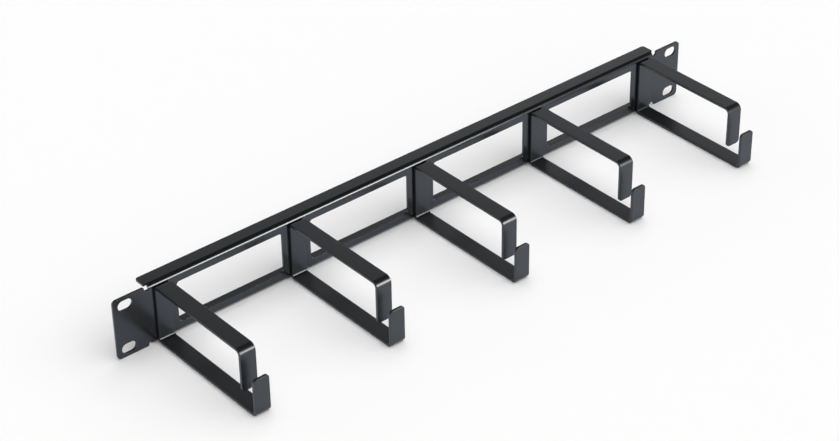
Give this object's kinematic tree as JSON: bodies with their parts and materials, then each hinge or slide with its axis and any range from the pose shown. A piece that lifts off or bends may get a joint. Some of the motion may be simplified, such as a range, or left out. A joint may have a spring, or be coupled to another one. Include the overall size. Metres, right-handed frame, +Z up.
{
  "type": "horizontal cable manager",
  "caption": "Rack cable manager: folded steel panel with windows and slotted ears, carrying open strip rings that hold cables along its front.",
  "frame": {"origin": "middle of the four rack slots, on the rear face of the ears that meets the rack rails", "axes": "+X along the panel to the right seen from the front, +Z up, +Y into the rack, so the rings reach forward along -Y"},
  "size_m": [0.4826, 0.112, 0.0436],
  "materials": {
    "panel_paint": "satin black powder coat on folded sheet steel",
    "ring_paint": "satin black powder coat on bent steel strip"
  },
  "bodies": {
    "root": {"panel": "panel_paint", "ring_left_end": "ring_paint", "ring_left": "ring_paint", "ring_centre": "ring_paint", "ring_right": "ring_paint", "ring_right_end": "ring_paint"}
  },
  "joints": []
}
